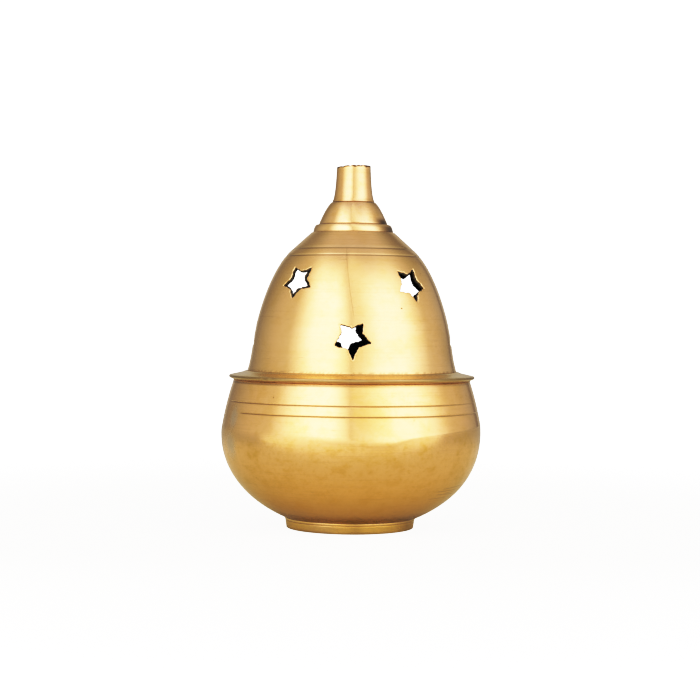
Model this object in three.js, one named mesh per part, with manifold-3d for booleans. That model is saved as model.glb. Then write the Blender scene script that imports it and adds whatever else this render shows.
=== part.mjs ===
// Turned brass incense burner: a round-bellied bowl on a foot ring, and a lift-off domed lid
// with star-shaped smoke vents, a flat brim and a hollow chimney finial.
// Millimetres, +Z up, origin at the centre of the resting face, -Y is the front.

import * as THREE from 'three';
import { mergeVertices, toCreasedNormals } from 'three/addons/utils/BufferGeometryUtils.js';
import Module from 'manifold-3d';

// ---- Driving dimensions ----

const TOTAL_HEIGHT = 112.5;
const WALL = 1.5; // cast wall of the bowl and the dome
const SEAM = 0.3; // gap kept between pieces that touch
const EDGE = 0.3; // small bevel on turned edges
const LARGE_SIDES = 48; // facets round the bowl, brim and dome
const SMALL_SIDES = 32; // facets round the finial pieces
const OUTER_STEPS = { belly: 13, wall: 7, flare: 4, ogive: 9 }; // rings along each outside curve
const INNER_STEPS = { belly: 10, wall: 5, flare: 3, ogive: 7 };

const FOOT_HEIGHT = 3.6;
const FOOT_BASE_RADIUS = 19.4;
const FOOT_TOP_RADIUS = 20.2;
const FOOT_BORE_RADIUS = 16.9;

const BOWL_UNDERSIDE = FOOT_HEIGHT + SEAM;
const BOSS_RADIUS = 16.4; // shallow boss under the bowl that centres the foot ring
const BOSS_DEPTH = 0.6;
const LIP_HEIGHT = 46;
const BELLY_LEAN = 0.02; // the belly was raised a little off the axis and leans towards -X
const BELLY_LEAN_START = 12.5;
const MOUTH_LEAN_START = 36;
const BOWL_GROOVES = [36.5, 39.6]; // heights of the two turned lines
const GROOVE_WIDTH = 0.5;
const GROOVE_DEPTH = 0.25;

const BRIM_RADIUS = 38.3;
const BRIM_BORE_RADIUS = 32.2;
const BRIM_EDGE_BOTTOM = 46.65;
const BRIM_EDGE_TOP = 47.45;
const BRIM_EDGE_ROUND = 0.15;
const BRIM_TOP = 48.75;
const SEAT_RADIUS = 36.9; // flat underside that rests on the lip
const SKIRT_RADIUS = 34.3; // locating skirt inside the bowl's mouth
const SKIRT_WALL = 1.2;
const SKIRT_BOTTOM = 42;

const DOME_FOOT = BRIM_TOP + SEAM;
const DOME_FOOT_RADIUS = 32.55;
const SPIGOT_RADIUS = BRIM_BORE_RADIUS - SEAM; // stepped foot of the dome, brazed inside the brim
const SPIGOT_WALL = 1.1;
const SPIGOT_BOTTOM = 46.7;
const CROWN_HEIGHT = 91.8;
const CROWN_RADIUS = 12.85;
const SHOULDER_HEIGHT = 87; // the crown cone ends and the long curve begins
const SHOULDER_RADIUS = 18.3;
const DOME_GROOVES = [84.4, 86.6];
const DOME_GROOVE_DEPTH = 0.15;

const STAR_TIP_RADIUS = 5.8;
const STAR_NOTCH_RADIUS = 3.2;
const STAR_POINTS = 5;
const STAR_CUT_LENGTH = 8;
// Vents were marked out by hand, so their bearings and heights aren't quite even.
// A bearing of 0 faces the front (-Y) and 90 faces +X.
const VENTS = [
  { bearing: 0, height: 58.6 },
  { bearing: 90, height: 58.6 },
  { bearing: 184, height: 60 },
  { bearing: 270, height: 58.6 },
  { bearing: -39.5, height: 75.9 },
  { bearing: 42, height: 75.3 },
  { bearing: 135, height: 75.8 },
  { bearing: 227, height: 77.5 },
];

const COLLAR_BOTTOM = CROWN_HEIGHT + SEAM;
const COLLAR_TOP = 94.3;
const COLLAR_BOTTOM_RADIUS = 12.5;
const COLLAR_TOP_RADIUS = 11.3;
const BELL_BOTTOM = COLLAR_TOP + SEAM;
const BELL_TOP = 101.2;
const TUBE_BOTTOM = BELL_TOP + SEAM;
const STEM_RADIUS = 4.6; // threaded stem under the chimney, through bell, collar and crown
const STEM_BOTTOM = 84.2;
const STEM_HOLE_RADIUS = STEM_RADIUS + SEAM;
const CHIMNEY_BORE_RADIUS = 3.3;

const CEILING_HEIGHT = CROWN_HEIGHT - 2;
const CEILING_RADIUS = 11;
const WASHER_THICKNESS = 1;
const WASHER_RADIUS = 9;
const NUT_THICKNESS = 3;
const NUT_ACROSS_FLATS = 14;

// ---- Outline curves, each from its lower end to its upper end as [radius, height] ----

const BELLY_CURVE = curve([20.7, 4.2], [25.7, 5.2], [43.6, 15.4], [39.7, 34.5]);
const WALL_CURVE = curve([40.9, 27.5], [39.9, 33.6], [38.4, 40.6], [36.5, 46.2]);
const FLARE_CURVE = curve([DOME_FOOT_RADIUS, DOME_FOOT], [31.3, 52.5], [31, 56], [30.65, 58.4]);
const OGIVE_CURVE = curve([30.65, 58.4], [29.9, 64.5], [25.6, 81], [SHOULDER_RADIUS, SHOULDER_HEIGHT]);
const BELL_CURVE = curve([10.65, BELL_BOTTOM], [9.6, 97.2], [8.15, 100.1], [6.9, BELL_TOP]);
const TUBE_CURVE = curve([6.6, TUBE_BOTTOM], [5.8, 102.8], [5.45, 108], [5.3, TOTAL_HEIGHT]);

// ---- Helpers ----

const wasm = await Module();
wasm.setup();

function curve(...points) {
  return new THREE.CubicBezierCurve(...points.map(([radius, height]) => new THREE.Vector2(radius, height)));
}

// Points along a curve, moved towards the axis side by `inset` along the curve's normal.
function trace(path, steps, inset = 0) {
  const points = [];
  for (let step = 0; step <= steps; step += 1) {
    const along = step / steps;
    const tangent = path.getTangent(along);
    const point = path.getPoint(along);
    points.push(new THREE.Vector2(point.x - tangent.y * inset, point.y + tangent.x * inset));
  }
  return points;
}

// The point and tangent of a rising curve at a given height, found by halving.
function atHeight(path, height) {
  let low = 0;
  let high = 1;
  for (let turn = 0; turn < 30; turn += 1) {
    const middle = (low + high) / 2;
    if (path.getPoint(middle).y < height) low = middle;
    else high = middle;
  }
  return { point: path.getPoint(low), tangent: path.getTangent(low) };
}

// Cuts V-shaped turned lines into a rising run of outline points.
function withGrooves(points, path, heights, depth) {
  let result = points;
  for (const height of heights) {
    const top = height + GROOVE_WIDTH / 2;
    const bottom = height - GROOVE_WIDTH / 2;
    const floor = atHeight(path, height).point;
    const below = result.filter((point) => point.y < bottom);
    const above = result.filter((point) => point.y > top);
    result = [
      ...below,
      atHeight(path, bottom).point,
      new THREE.Vector2(floor.x - depth, floor.y),
      atHeight(path, top).point,
      ...above,
    ];
  }
  return result;
}

// A solid of revolution about Z from an outline in (radius, height).
function lathe(outline, sides) {
  const points = outline.map((point) => (point.isVector2 ? point : new THREE.Vector2(...point)));
  if (THREE.ShapeUtils.isClockWise(points)) points.reverse();
  const closesOnAxis = points[0].x === 0 && points.at(-1).x === 0;
  if (!closesOnAxis) points.push(points[0].clone());
  return new THREE.LatheGeometry(points, sides).rotateX(Math.PI / 2);
}

// Moves everything above `start` towards -X, further the higher it is.
function lean(geometry, start) {
  const position = geometry.getAttribute('position');
  for (let index = 0; index < position.count; index += 1) {
    const rise = Math.max(0, position.getZ(index) - start);
    position.setX(index, position.getX(index) - BELLY_LEAN * rise);
  }
  return geometry;
}

function toSolid(geometry) {
  const bare = geometry.clone();
  bare.deleteAttribute('normal');
  bare.deleteAttribute('uv');
  const merged = mergeVertices(bare, 1e-4);
  const corners = merged.index.array;
  const triangles = [];
  for (let first = 0; first < corners.length; first += 3) {
    const [a, b, c] = corners.slice(first, first + 3);
    if (a !== b && b !== c && c !== a) triangles.push(a, b, c);
  }
  return new wasm.Manifold(new wasm.Mesh({
    numProp: 3,
    vertProperties: new Float32Array(merged.getAttribute('position').array),
    triVerts: new Uint32Array(triangles),
  }));
}

function toGeometry(solid) {
  const mesh = solid.getMesh();
  const geometry = new THREE.BufferGeometry();
  geometry.setAttribute('position', new THREE.BufferAttribute(new Float32Array(mesh.vertProperties), 3));
  geometry.setIndex(new THREE.BufferAttribute(new Uint32Array(mesh.triVerts), 1));
  return toCreasedNormals(geometry, Math.PI / 6);
}

// ---- Bowl and foot ----

function footRing() {
  return lathe([
    [FOOT_BORE_RADIUS + EDGE, 0],
    [FOOT_BASE_RADIUS - EDGE, 0],
    [FOOT_BASE_RADIUS, EDGE],
    [FOOT_TOP_RADIUS, FOOT_HEIGHT - EDGE],
    [FOOT_TOP_RADIUS - EDGE, FOOT_HEIGHT],
    [FOOT_BORE_RADIUS, FOOT_HEIGHT],
    [FOOT_BORE_RADIUS, EDGE],
  ], LARGE_SIDES);
}

// The wall and the belly are two turned surfaces, and they meet in a crease that tilts a little
// because the belly leans. An inset of WALL gives the hollow inside.
function bowlBody(inset) {
  const isHollow = inset > 0;
  const steps = isHollow ? INNER_STEPS : OUTER_STEPS;
  const grooves = isHollow ? [] : BOWL_GROOVES;
  const top = isHollow ? LIP_HEIGHT + WALL : LIP_HEIGHT;
  const wallPoints = withGrooves(trace(WALL_CURVE, steps.wall, inset), WALL_CURVE, grooves, GROOVE_DEPTH);
  const wallBelowTop = wallPoints.filter((point) => point.y < LIP_HEIGHT - WALL / 2);
  const mouthRadius = atHeight(WALL_CURVE, LIP_HEIGHT).point.x - inset;
  const wall = lathe([
    [0, 0],
    [wallPoints[0].x + LIP_HEIGHT * BELLY_LEAN, 0],
    ...wallBelowTop,
    [mouthRadius, LIP_HEIGHT],
    ...(isHollow ? [[mouthRadius, top]] : []),
    [0, top],
  ], LARGE_SIDES);

  const bellyPoints = trace(BELLY_CURVE, steps.belly, inset);
  const floor = BOWL_UNDERSIDE + inset;
  const boss = [[0, floor - BOSS_DEPTH], [BOSS_RADIUS, floor - BOSS_DEPTH], [BOSS_RADIUS, floor]];
  const belly = lathe([
    ...(isHollow ? [[0, floor]] : boss),
    [bellyPoints[0].x - SEAM, floor],
    ...bellyPoints,
    [BRIM_RADIUS + WALL, TOTAL_HEIGHT],
    [0, TOTAL_HEIGHT],
  ], LARGE_SIDES);
  return toSolid(lean(wall, MOUTH_LEAN_START)).intersect(toSolid(lean(belly, BELLY_LEAN_START)));
}

function bowl() {
  return toGeometry(bowlBody(0).subtract(bowlBody(WALL)));
}

// ---- Lid: brim and dome ----

function lidBrim() {
  return lathe([
    [SKIRT_RADIUS - SKIRT_WALL, SKIRT_BOTTOM],
    [SKIRT_RADIUS - EDGE, SKIRT_BOTTOM],
    [SKIRT_RADIUS, SKIRT_BOTTOM + EDGE],
    [SKIRT_RADIUS, LIP_HEIGHT + SEAM],
    [SEAT_RADIUS, LIP_HEIGHT + SEAM],
    [BRIM_RADIUS - BRIM_EDGE_ROUND, BRIM_EDGE_BOTTOM],
    [BRIM_RADIUS, BRIM_EDGE_BOTTOM + BRIM_EDGE_ROUND],
    [BRIM_RADIUS, BRIM_EDGE_TOP - BRIM_EDGE_ROUND],
    [BRIM_RADIUS - BRIM_EDGE_ROUND, BRIM_EDGE_TOP],
    [DOME_FOOT_RADIUS + SEAM, BRIM_TOP],
    [BRIM_BORE_RADIUS, BRIM_TOP],
    [BRIM_BORE_RADIUS, LIP_HEIGHT + SEAM],
    [SKIRT_RADIUS - SKIRT_WALL, LIP_HEIGHT + SEAM],
  ], LARGE_SIDES);
}

function starPrism() {
  const outline = [];
  for (let corner = 0; corner < 2 * STAR_POINTS; corner += 1) {
    const radius = corner % 2 === 0 ? STAR_TIP_RADIUS : STAR_NOTCH_RADIUS;
    const angle = -Math.PI / 2 + (corner * Math.PI) / STAR_POINTS; // the first point hangs down
    outline.push(new THREE.Vector2(radius * Math.cos(angle), radius * Math.sin(angle)));
  }
  const settings = { depth: STAR_CUT_LENGTH, bevelEnabled: false };
  const prism = new THREE.ExtrudeGeometry(new THREE.Shape(outline), settings);
  return prism.translate(0, 0, -STAR_CUT_LENGTH / 2);
}

// Turns the star prism square to the dome's wall at one vent.
function starCut({ bearing, height }) {
  const { point, tangent } = atHeight(OGIVE_CURVE, height);
  const angle = THREE.MathUtils.degToRad(bearing);
  const outward = new THREE.Vector3(Math.sin(angle), -Math.cos(angle), 0);
  const sideways = new THREE.Vector3(Math.cos(angle), Math.sin(angle), 0);
  const uphill = outward.clone().multiplyScalar(tangent.x).setZ(tangent.y);
  const normal = new THREE.Vector3().crossVectors(sideways, uphill);
  const placement = new THREE.Matrix4().makeBasis(sideways, uphill, normal);
  placement.setPosition(outward.x * point.x, outward.y * point.x, point.y);
  return toSolid(starPrism().applyMatrix4(placement));
}

function lidDome() {
  const smoothOgive = trace(OGIVE_CURVE, OUTER_STEPS.ogive);
  const ogive = withGrooves(smoothOgive, OGIVE_CURVE, DOME_GROOVES, DOME_GROOVE_DEPTH);
  const outerFlare = trace(FLARE_CURVE, OUTER_STEPS.flare).slice(0, -1);
  const innerFlare = trace(FLARE_CURVE, INNER_STEPS.flare, WALL).slice(0, -1);
  const inside = [...innerFlare, ...trace(OGIVE_CURVE, INNER_STEPS.ogive, WALL)];
  const shell = lathe([
    [SPIGOT_RADIUS - SPIGOT_WALL, SPIGOT_BOTTOM],
    [SPIGOT_RADIUS, SPIGOT_BOTTOM],
    [SPIGOT_RADIUS, DOME_FOOT],
    ...outerFlare,
    ...ogive,
    [CROWN_RADIUS, CROWN_HEIGHT],
    [STEM_HOLE_RADIUS, CROWN_HEIGHT],
    [STEM_HOLE_RADIUS, CEILING_HEIGHT],
    [CEILING_RADIUS, CEILING_HEIGHT],
    ...inside.reverse(),
  ], LARGE_SIDES);
  let solid = toSolid(shell);
  for (const vent of VENTS) {
    solid = solid.subtract(starCut(vent));
  }
  return toGeometry(solid);
}

// ---- Lid: finial, from the crown up, and its fastening inside ----

function finialCollar() {
  const middle = (COLLAR_BOTTOM + COLLAR_TOP) / 2;
  return lathe([
    [STEM_HOLE_RADIUS, COLLAR_BOTTOM],
    [COLLAR_BOTTOM_RADIUS, COLLAR_BOTTOM],
    [(COLLAR_BOTTOM_RADIUS + COLLAR_TOP_RADIUS) / 2, middle],
    [COLLAR_TOP_RADIUS, COLLAR_TOP],
    [STEM_HOLE_RADIUS, COLLAR_TOP],
  ], SMALL_SIDES);
}

function finialBell() {
  return lathe([
    [STEM_HOLE_RADIUS, BELL_BOTTOM],
    ...trace(BELL_CURVE, 7),
    [STEM_HOLE_RADIUS, BELL_TOP],
  ], SMALL_SIDES);
}

function chimneyTube() {
  return lathe([
    [CHIMNEY_BORE_RADIUS, STEM_BOTTOM],
    [STEM_RADIUS, STEM_BOTTOM],
    [STEM_RADIUS, TUBE_BOTTOM],
    ...trace(TUBE_CURVE, 8),
    [CHIMNEY_BORE_RADIUS, TOTAL_HEIGHT],
  ], SMALL_SIDES);
}

function crownWasher() {
  const top = CEILING_HEIGHT - SEAM;
  const bottom = top - WASHER_THICKNESS;
  return lathe([
    [STEM_HOLE_RADIUS, bottom],
    [WASHER_RADIUS, bottom],
    [WASHER_RADIUS, top],
    [STEM_HOLE_RADIUS, top],
  ], SMALL_SIDES);
}

function lockNut() {
  const cornerRadius = NUT_ACROSS_FLATS / 2 / Math.cos(Math.PI / 6);
  const outline = [];
  for (let corner = 0; corner < 6; corner += 1) {
    const angle = (corner * Math.PI) / 3;
    outline.push(new THREE.Vector2(cornerRadius * Math.cos(angle), cornerRadius * Math.sin(angle)));
  }
  const hexagon = new THREE.Shape(outline);
  hexagon.holes.push(new THREE.Path().absarc(0, 0, STEM_HOLE_RADIUS, 0, 2 * Math.PI));
  const settings = { depth: NUT_THICKNESS, bevelEnabled: false, curveSegments: SMALL_SIDES / 2 };
  const top = CEILING_HEIGHT - WASHER_THICKNESS - 2 * SEAM;
  return new THREE.ExtrudeGeometry(hexagon, settings).translate(0, 0, top - NUT_THICKNESS);
}

// ---- Assembly ----

const BRASS = { color: 0xd9b06a, roughness: 0.32, metalness: 1 };
const FINISHES = {
  foot_ring: { ...BRASS, color: 0xc8923f },
  bowl: { ...BRASS, color: 0xd2a354 },
  lid_brim: { ...BRASS, color: 0xc9a866 },
  lid_dome: BRASS,
  finial_collar: { ...BRASS, color: 0xe2c184 },
  finial_bell: BRASS,
  chimney_tube: BRASS,
  crown_washer: { ...BRASS, color: 0x9c7a40, roughness: 0.5 },
  lock_nut: { ...BRASS, color: 0xa5803f, roughness: 0.5 },
};

function part(name, geometry) {
  const mesh = new THREE.Mesh(geometry, new THREE.MeshStandardMaterial(FINISHES[name]));
  mesh.name = name;
  return mesh;
}

const base = new THREE.Group();
base.add(part('foot_ring', footRing()));
base.add(part('bowl', bowl()));

const lid = new THREE.Group();
lid.add(part('lid_brim', lidBrim()));
lid.add(part('lid_dome', lidDome()));
lid.add(part('finial_collar', finialCollar()));
lid.add(part('finial_bell', finialBell()));
lid.add(part('chimney_tube', chimneyTube()));
lid.add(part('crown_washer', crownWasher()));
lid.add(part('lock_nut', lockNut()));

const group = new THREE.Group();
group.add(base);
group.add(lid);

export default group;
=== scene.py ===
"""A turned brass incense burner: a footed bowl, and a lift-off domed lid with star-shaped smoke
vents, a flat brim and a hollow chimney finial.

Outlines are written in millimetres as (radius, height) and turned about Z. A bearing of 0 faces
the front (-Y) and 90 faces +X.
"""

import math

import bmesh
import bpy
import numpy as np
from mathutils import Matrix, Vector
from mathutils.geometry import delaunay_2d_cdt


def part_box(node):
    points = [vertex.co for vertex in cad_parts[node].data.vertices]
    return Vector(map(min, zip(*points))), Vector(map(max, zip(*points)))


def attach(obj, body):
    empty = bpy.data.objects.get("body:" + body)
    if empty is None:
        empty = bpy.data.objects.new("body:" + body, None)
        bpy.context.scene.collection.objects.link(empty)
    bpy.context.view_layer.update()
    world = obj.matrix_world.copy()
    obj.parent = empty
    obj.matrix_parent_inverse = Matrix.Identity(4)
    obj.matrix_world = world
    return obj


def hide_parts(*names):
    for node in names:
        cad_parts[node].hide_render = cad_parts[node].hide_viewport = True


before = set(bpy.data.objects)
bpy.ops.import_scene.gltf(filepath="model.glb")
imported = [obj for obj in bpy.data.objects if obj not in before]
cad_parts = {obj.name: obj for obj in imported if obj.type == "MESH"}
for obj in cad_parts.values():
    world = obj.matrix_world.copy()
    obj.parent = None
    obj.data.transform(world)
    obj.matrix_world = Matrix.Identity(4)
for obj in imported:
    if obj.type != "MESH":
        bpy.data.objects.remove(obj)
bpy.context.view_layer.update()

MM = 0.001
WALL = 1.5
SEAM = 0.3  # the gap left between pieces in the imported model
LARGE_SIDES = 384
SMALL_SIDES = 192
ROW_STEP = 0.5  # longest stretch of outline between two rings of points, in mm
FRONT = -math.pi / 2  # the angle in the XY plane that a bearing of 0 faces


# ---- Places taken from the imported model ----


def node_span(node):
    """The lowest height, highest height and largest radius of a CAD node, in mm."""
    low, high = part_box(node)
    return low.z / MM, high.z / MM, (high.y - low.y) / 2 / MM


_, FOOT_TOP, _ = node_span("foot_ring")
_, LIP_HEIGHT, _ = node_span("bowl")
SKIRT_BOTTOM, BRIM_TOP, BRIM_RADIUS = node_span("lid_brim")
SPIGOT_BOTTOM, CROWN_HEIGHT, DOME_FOOT_RADIUS = node_span("lid_dome")
COLLAR_BOTTOM, COLLAR_TOP, COLLAR_RADIUS = node_span("finial_collar")
BELL_BOTTOM, BELL_TOP, BELL_RADIUS = node_span("finial_bell")
STEM_BOTTOM, TUBE_TOP, _ = node_span("chimney_tube")
WASHER_BOTTOM, WASHER_TOP, WASHER_RADIUS = node_span("crown_washer")
NUT_BOTTOM, NUT_TOP, NUT_HALF_FLATS = node_span("lock_nut")

# sizes that the boxes don't tell
STEM_RADIUS = 4.6
STEM_HOLE_RADIUS = 4.9
CHIMNEY_BORE_RADIUS = 3.3
BELL_TOP_RADIUS = 6.9
TUBE_FOOT_RADIUS = 6.6
RIM_RADIUS = 5.3
TOUCH = 0.04  # the hair's breadth left between pieces that bear on each other
DOME_FOOT = BRIM_TOP + SEAM
TUBE_BOTTOM = BELL_TOP + SEAM
SHOULDER = (18.3, 87.0)
CROWN_RADIUS = 12.85

# cubic curves, each as (radius, height) of its start, two handles and end
BELLY = ((20.6, 3.3), (44.55, 13.7), (40.4, 33.0), (39.9, 34.5))
WALL_CURVE = ((40.97, 27.5), (40.22, 33.7), (38.7, 40.5), (36.75, 46.2))
FLARE = ((DOME_FOOT_RADIUS, DOME_FOOT), (31.5, 52.5), (31.2, 56.0), (30.8, 58.4))
OGIVE = ((30.8, 58.4), (30.0, 64.5), (25.8, 81.0), SHOULDER)
BELL = ((BELL_RADIUS, BELL_BOTTOM), (9.6, 97.2), (8.15, 100.1), (BELL_TOP_RADIUS, BELL_TOP))
TUBE = ((TUBE_FOOT_RADIUS, TUBE_BOTTOM), (5.8, 102.8), (5.45, 108.0), (RIM_RADIUS, TUBE_TOP))


# ---- Outlines ----


def bezier(points, along):
    """Points of a cubic curve, at values of its parameter from 0 to 1."""
    a, b, c, d = (np.array(point, float) for point in points)
    t = np.asarray(along, float)[:, None]
    return a * (1 - t) ** 3 + 3 * b * t * (1 - t) ** 2 + 3 * c * t**2 * (1 - t) + d * t**3


def trace(points, count):
    """A cubic curve as a list of points, `count` steps long."""
    return [tuple(p) for p in bezier(points, np.linspace(0, 1, count + 1))]


def radius_at(points, heights):
    """The radius of a rising curve at the given heights, carried on straight past its ends."""
    path = bezier(points, np.linspace(0, 1, 2000))
    radius = np.interp(heights, path[:, 1], path[:, 0])
    for end, inner, outside in ((0, 20, heights < path[0, 1]), (-1, -21, heights > path[-1, 1])):
        rise = path[end] - path[inner]
        radius = radius + outside * (heights - path[end, 1]) * rise[0] / rise[1]
    return radius


def rounded(corners, closed=True):
    """An outline of (x, y, rounding) corners, each replaced by a small arc of that reach."""
    result = []
    count = len(corners)
    for index, corner in enumerate(corners):
        here = np.array(corner[:2], float)
        reach = corner[2] if len(corner) > 2 else 0
        is_end = not closed and index in (0, count - 1)
        if reach == 0 or is_end:
            result.append(tuple(here))
            continue
        before = np.array(corners[index - 1][:2], float) - here
        after = np.array(corners[(index + 1) % count][:2], float) - here
        start = here + before * min(0.45, reach / np.linalg.norm(before))
        end = here + after * min(0.45, reach / np.linalg.norm(after))
        for t in (0, 0.25, 0.5, 0.75, 1):
            result.append(tuple(start * (1 - t) ** 2 + 2 * here * t * (1 - t) + end * t**2))
    return result


def evenly(outline, step=ROW_STEP, closed=False):
    """The same outline with extra points wherever two are more than a step apart."""
    result = []
    ends = outline[1:] + outline[:1] if closed else outline[1:]
    for start, end in zip(outline, ends):
        start, end = np.array(start, float), np.array(end, float)
        pieces = max(1, math.ceil(np.linalg.norm(end - start) / step))
        result += [tuple(start + (end - start) * k / pieces) for k in range(pieces)]
    if not closed:
        result.append(tuple(outline[-1]))
    return result


def smoothstep(low, high, value):
    """0 up to `low` and 1 from `high`, eased in between. `low` may be the larger of the two."""
    t = np.clip((value - low) / (high - low), 0, 1)
    return t * t * (3 - 2 * t)


def bearing_gap(bearings, bearing):
    """How far each bearing is past the given one, from -180 to 180 degrees."""
    return (np.asarray(bearings) - bearing + 180) % 360 - 180


def sine(degrees):
    return np.sin(np.radians(degrees))


def fade(distance, width):
    """1 where the distance is 0, falling off smoothly over about `width` to either side."""
    return np.exp(-((distance / width) ** 2))


def spots(bearings, table):
    """The sum of soft spots round a piece, each given as (bearing, width, strength)."""
    return sum(strength * fade(bearing_gap(bearings, at), width) for at, width, strength in table)


# ---- Meshes ----
# Each point carries a finish: wear (polished bright, and painted highlights), grime (dark in lines,
# joints and corners, and painted shade), soot (inside surfaces, and painted shade there) and bloom (pale,
# cloudy patches).

WEAR_AND_HIGHLIGHT, GRIME_AND_SHADE, SOOT_AND_SHADE, BLOOM = range(4)


def add_object(name, data):
    made = bpy.data.objects.new(name, data)
    bpy.context.scene.collection.objects.link(made)
    return made


def make_piece(name, points, faces, finish, material, body, nodes, normals=None):
    """A mesh object from points in mm. `normals` gives (point, direction) pairs to shade by."""
    mesh = bpy.data.meshes.new(name)
    mesh.from_pydata([Vector(p) * MM for p in points], [], faces)
    layer = mesh.attributes.new("finish", "FLOAT_COLOR", "POINT")
    layer.data.foreach_set("color", np.clip(np.asarray(finish, np.float32), 0, 1).ravel())
    work = bmesh.new()
    work.from_mesh(mesh)
    bmesh.ops.remove_doubles(work, verts=work.verts, dist=1e-6)
    bmesh.ops.recalc_face_normals(work, faces=work.faces)
    work.to_mesh(mesh)
    work.free()
    mesh.shade_smooth()
    piece = add_object(name, mesh)
    if normals is not None:
        shading = np.zeros(len(mesh.vertices) * 3)
        mesh.vertices.foreach_get("normal", shading)
        shading = shading.reshape(-1, 3)
        known = {tuple(np.round(p, 5)): n for p, n in normals}
        for vertex in mesh.vertices:
            normal = known.get(tuple(np.round(np.array(vertex.co) / MM, 5) + 0.0))
            if normal is not None:
                shading[vertex.index] = normal
        mesh.normals_split_custom_set_from_vertices(shading.tolist())
    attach(piece, body)
    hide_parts(*nodes)
    mesh.materials.append(material)


def grid_faces(rows, columns, closed=True, skip=()):
    """Quads between rings of points. `skip` holds the (row, column) cells left open."""
    faces = []
    for row in range(rows if closed else rows - 1):
        for column in range(columns):
            if (row, column) in skip:
                continue
            here, above = row * columns, (row + 1) % rows * columns
            after = (column + 1) % columns
            faces.append((here + column, here + after, above + after, above + column))
    return faces


def bearings(sides):
    """The bearing of each point of a ring."""
    return np.arange(sides) * 360 / sides


def turn(radius, height, sides):
    """Points of rings from (rows, sides) arrays, or columns, of radius and height."""
    angle = np.radians(bearings(sides)) + FRONT
    radius = np.broadcast_to(radius, (len(radius), sides))
    height = np.broadcast_to(height, (len(height), sides))
    points = np.stack([radius * np.cos(angle), radius * np.sin(angle), height], axis=-1)
    return points.reshape(-1, 3)


def grid_of(rows, sides):
    """Radius and height, once for each side, of rows of (radius, height)."""
    return (np.repeat(rows[:, column:column + 1], sides, axis=1) for column in (0, 1))


def blank_finish(radius):
    """The four channels of the finish, all nothing, for a grid of points."""
    return np.zeros(radius.shape + (4,))


def raise_finish(masks, rows, channel, amount):
    """Lifts one channel of the finish to at least the amount, in the given rows."""
    masks[rows, :, channel] = np.maximum(masks[rows, :, channel], amount)


def turned_piece(
    name, outline, material, body, slot, nodes, shape=None, finish=None, sides=SMALL_SIDES
):
    """A closed turned solid. `shape` and `finish` read (radius, height, bearing) arrays."""
    rows = np.array(evenly(outline, closed=True))
    radius, height = grid_of(rows, sides)
    around = np.broadcast_to(bearings(sides), radius.shape)
    masks = blank_finish(radius)
    if finish:
        for channel, value in finish(radius, height, around).items():
            masks[..., channel] = value
    if shape:
        radius, height = shape(radius, height, around)
    points, faces = turn(radius, height, sides), grid_faces(len(rows), sides)
    make_piece(name, points, faces, masks, material, body, nodes)


# ---- Materials ----


class Shader:
    """Builds the nodes of a material or world from plain expressions: each call adds what it returns."""

    def __init__(self, block):
        block.use_nodes = True
        self.tree = block.node_tree
        self.tree.nodes.clear()

    def node(self, kind, inputs=(), **settings):
        """A node. `inputs` gives a value or another node's output for each input named."""
        made = self.tree.nodes.new(kind)
        for key, value in settings.items():
            setattr(made, key, value)
        for key, value in dict(inputs).items():
            if isinstance(value, bpy.types.NodeSocket):
                self.tree.links.new(value, made.inputs[key])
            else:
                made.inputs[key].default_value = value
        return made

    def math(self, operation, *values):
        return self.node("ShaderNodeMath", enumerate(values), operation=operation).outputs[0]

    def add(self, a, b):
        return self.math("ADD", a, b)

    def times(self, a, b):
        return self.math("MULTIPLY", a, b)

    def total(self, *parts):
        """The sum of (value, weight) pairs."""
        result = self.times(*parts[0])
        for value, weight in parts[1:]:
            result = self.add(result, self.times(value, weight))
        return result

    def split(self, vector):
        """The x, y and z of a vector."""
        return self.node("ShaderNodeSeparateXYZ", {0: vector}).outputs

    def bearing(self, x, y):
        return self.times(self.math("ARCTAN2", x, self.times(y, -1.0)), 180 / math.pi)

    def ramp(self, value, low, high, start=0.0, end=1.0):
        """An eased step from `start` to `end` as the value goes from `low` to `high`."""
        inputs = enumerate((value, low, high, start, end))
        return self.node("ShaderNodeMapRange", inputs, interpolation_type="SMOOTHSTEP").outputs[0]

    def noise(self, vector, scale, detail, rough, w=None, distortion=0.0):
        """Noise in the three dimensions of the vector, and in a fourth where w is given."""
        inputs = {"Vector": vector, "Scale": scale, "Detail": detail, "Roughness": rough}
        inputs["Distortion"] = distortion
        if w is not None:
            inputs["W"] = w
        dimensions = "3D" if w is None else "4D"
        return self.node("ShaderNodeTexNoise", inputs, noise_dimensions=dimensions).outputs[0]

    def line(self, across, along, middle, tilt, start, half_length, half_width):
        """A thin mark, fading at its ends, that crosses `across` = middle at `along` = start."""
        from_start = self.add(along, -start)
        leaning = self.math("MULTIPLY_ADD", from_start, -tilt, -middle)
        off = self.math("ABSOLUTE", self.add(across, leaning))
        ends = self.ramp(self.math("ABSOLUTE", from_start), half_length, half_length * 0.7)
        return self.times(self.ramp(off, half_width, half_width * 0.2), ends)

    def mix(self, share, a, b):
        """The colour a turning into the colour b as the share goes from 0 to 1."""
        return self.node("ShaderNodeMix", {0: share, 6: a, 7: b}, data_type="RGBA").outputs[2]

    def background(self, colour, strength):
        inputs = {"Color": (*colour, 1), "Strength": strength}
        return self.node("ShaderNodeBackground", inputs).outputs[0]

    def blend(self, share, a, b):
        """One shader turning into another as the share goes from 0 to 1."""
        return self.node("ShaderNodeMixShader", enumerate((share, a, b))).outputs[0]


DEEP_GOLD = (0.745, 0.465, 0.08, 1)
# the polished colour also paints highlights
POLISH_AND_HIGHLIGHT = (0.98, 0.73, 0.40, 1)
# the tarnish colour also paints shade and a reflected dark line
TARNISH_AND_SHADE = (0.10, 0.050, 0.014, 1)
# the near-black soot colour also paints the shade inside the lid
SOOT_AND_SHADE_BLACK = (0.020, 0.015, 0.010, 1)
PALE_BLOOM = (0.78, 0.66, 0.50, 1)

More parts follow.
